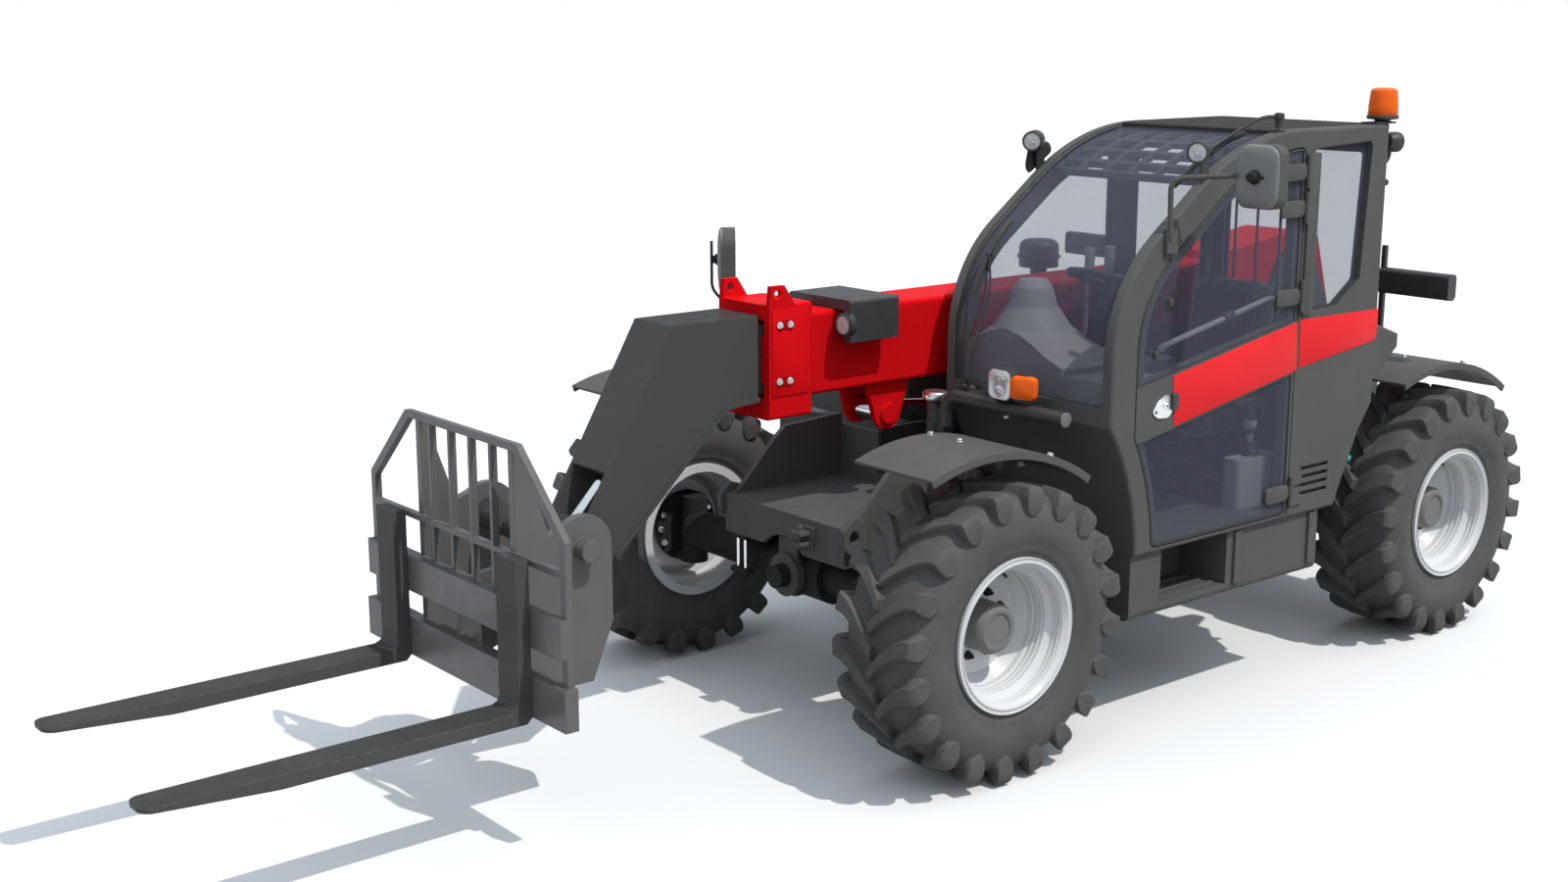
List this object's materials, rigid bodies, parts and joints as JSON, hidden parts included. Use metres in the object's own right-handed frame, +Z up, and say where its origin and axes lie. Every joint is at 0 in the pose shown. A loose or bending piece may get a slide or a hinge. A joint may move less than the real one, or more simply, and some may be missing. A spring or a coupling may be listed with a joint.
{
  "type": "telehandler",
  "caption": "Compact telehandler with a side cab, a low centre boom that lifts and extends, a tilting fork carriage and four steered wheels.",
  "frame": {"origin": "on the ground, in the middle of the box round the whole machine at rest", "axes": "+X forward along the boom, +Y to the cab side, +Z up"},
  "size_m": [6.1, 2.8, 2.3603],
  "materials": {
    "dark_paint": "satin",
    "red_paint": "gloss",
    "head_paint": "satin",
    "tool_steel": "satin",
    "rim_paint": "gloss",
    "tyre_rubber": "matte",
    "cast": "satin",
    "glass": "gloss",
    "black_plastic": "matte",
    "cab_trim": "matte",
    "seat_cloth": "matte",
    "lamp": "gloss",
    "amber": "gloss",
    "steel": "satin",
    "chrome_rod": "polished"
  },
  "bodies": {
    "chassis": {"air_intake": "black_plastic", "beacon": "amber", "cab_consoles": "cab_trim", "cab_floor": "dark_paint", "cab_front_wall": "dark_paint", "cab_glass": "glass", "cab_left_wall": "dark_paint", "cab_rear_wall": "dark_paint", "cab_right_wall": "dark_paint", "cab_roof": "dark_paint", "chassis_frame": "dark_paint", "counterweight": "dark_paint", "engine_block": "cast", "engine_housing": "dark_paint", "frame_pins": "steel", "front_axle": "cast", "front_fenders": "dark_paint", "headlamp": "lamp", "lamp_bar": "black_plastic", "mirrors": "black_plastic", "rear_axle": "cast", "rear_fenders": "dark_paint", "rear_lamps": "black_plastic", "roof_guard": "dark_paint", "roof_lamps": "black_plastic", "seat": "seat_cloth", "side_tank": "dark_paint", "steering": "black_plastic", "tow_hitch": "cast", "windscreen": "glass"},
    "engine_lid": {"engine_lid": "dark_paint"},
    "door": {"door_frame": "dark_paint", "door_glass": "glass"},
    "boom": {"boom_outer": "red_paint", "boom_collar": "red_paint", "boom_lamp_bracket": "black_plastic"},
    "boom_slide": {"boom_inner": "head_paint", "tilt_barrel": "cast"},
    "tilt_rod": {"tilt_rod": "chrome_rod"},
    "lift_barrel": {"lift_barrel": "cast"},
    "lift_rod": {"lift_rod": "chrome_rod"},
    "carriage": {"carriage_frame": "tool_steel", "fork_left": "tool_steel", "fork_right": "tool_steel"},
    "front_left_knuckle": {"front_left_knuckle": "cast"},
    "front_left_wheel": {"front_left_tyre": "tyre_rubber", "front_left_rim": "rim_paint", "front_left_hub": "cast"},
    "front_right_knuckle": {"front_right_knuckle": "cast"},
    "front_right_wheel": {"front_right_tyre": "tyre_rubber", "front_right_rim": "rim_paint", "front_right_hub": "cast"},
    "rear_left_knuckle": {"rear_left_knuckle": "cast"},
    "rear_left_wheel": {"rear_left_tyre": "tyre_rubber", "rear_left_rim": "rim_paint", "rear_left_hub": "cast"},
    "rear_right_knuckle": {"rear_right_knuckle": "cast"},
    "rear_right_wheel": {"rear_right_tyre": "tyre_rubber", "rear_right_rim": "rim_paint", "rear_right_hub": "cast"}
  },
  "joints": [
    {"name": "boom_lift", "type": "hinge", "parent": "chassis", "child": "boom", "pos_m": [-2.56, 0, 1.49], "axis": [0, -1, 0], "range_deg": [-4, 62]},
    {"name": "boom_extend", "type": "slide", "parent": "boom", "child": "boom_slide", "axis": [1, 0, 0], "range_m": [0, 2]},
    {"name": "carriage_tilt", "type": "hinge", "parent": "boom_slide", "child": "carriage", "pos_m": [1.465, 0, 0.91], "axis": [0, 1, 0], "range_deg": [-15, 105]},
    {"name": "tilt_rod_slide", "type": "slide", "parent": "boom_slide", "child": "tilt_rod", "axis": [0.6856, 0, -0.7279], "range_m": [-0.35, 0.06]},
    {"name": "lift_barrel_swing", "type": "hinge", "parent": "chassis", "child": "lift_barrel", "pos_m": [-2.3, 0, 0.9], "axis": [0, -1, 0], "range_deg": [-6, 70]},
    {"name": "lift_rod_slide", "type": "slide", "parent": "lift_barrel", "child": "lift_rod", "axis": [0.9946, 0, 0.104], "range_m": [-0.15, 0.9]},
    {"name": "door_open", "type": "hinge", "parent": "chassis", "child": "door", "pos_m": [-1.375, 1.062, 1.4], "axis": [0, 0, 1], "range_deg": [0, 85]},
    {"name": "engine_lid_open", "type": "hinge", "parent": "chassis", "child": "engine_lid", "pos_m": [-1.125, -0.213, 1.1804], "axis": [-1, 0, 0], "range_deg": [0, 60]},
    {"name": "front_left_steer", "type": "hinge", "parent": "chassis", "child": "front_left_knuckle", "pos_m": [0.195, 0.78, 0.537], "axis": [0, 0, 1], "range_deg": [-35, 35]},
    {"name": "front_left_spin", "type": "hinge", "parent": "front_left_knuckle", "child": "front_left_wheel", "pos_m": [0.195, 0.917, 0.537], "axis": [0, 1, 0], "continuous": true},
    {"name": "front_right_steer", "type": "hinge", "parent": "chassis", "child": "front_right_knuckle", "pos_m": [0.195, -0.78, 0.537], "axis": [0, 0, 1], "range_deg": [-35, 35]},
    {"name": "front_right_spin", "type": "hinge", "parent": "front_right_knuckle", "child": "front_right_wheel", "pos_m": [0.195, -0.917, 0.537], "axis": [0, 1, 0], "continuous": true},
    {"name": "rear_left_steer", "type": "hinge", "parent": "chassis", "child": "rear_left_knuckle", "pos_m": [-2.495, 0.78, 0.537], "axis": [0, 0, -1], "range_deg": [-35, 35]},
    {"name": "rear_left_spin", "type": "hinge", "parent": "rear_left_knuckle", "child": "rear_left_wheel", "pos_m": [-2.495, 0.917, 0.537], "axis": [0, 1, 0], "continuous": true},
    {"name": "rear_right_steer", "type": "hinge", "parent": "chassis", "child": "rear_right_knuckle", "pos_m": [-2.495, -0.78, 0.537], "axis": [0, 0, -1], "range_deg": [-35, 35]},
    {"name": "rear_right_spin", "type": "hinge", "parent": "rear_right_knuckle", "child": "rear_right_wheel", "pos_m": [-2.495, -0.917, 0.537], "axis": [0, 1, 0], "continuous": true}
  ],
  "couplings": [
    {"joint": "front_right_steer", "follows": "front_left_steer", "ratio": 1},
    {"joint": "rear_right_steer", "follows": "rear_left_steer", "ratio": 1},
    {"joint": "lift_barrel_swing", "follows": "boom_lift", "ratio": 0.9667},
    {"joint": "lift_rod_slide", "follows": "boom_lift", "m_per_rad": 0.6312},
    {"joint": "tilt_rod_slide", "follows": "carriage_tilt", "m_per_rad": -0.1762}
  ]
}
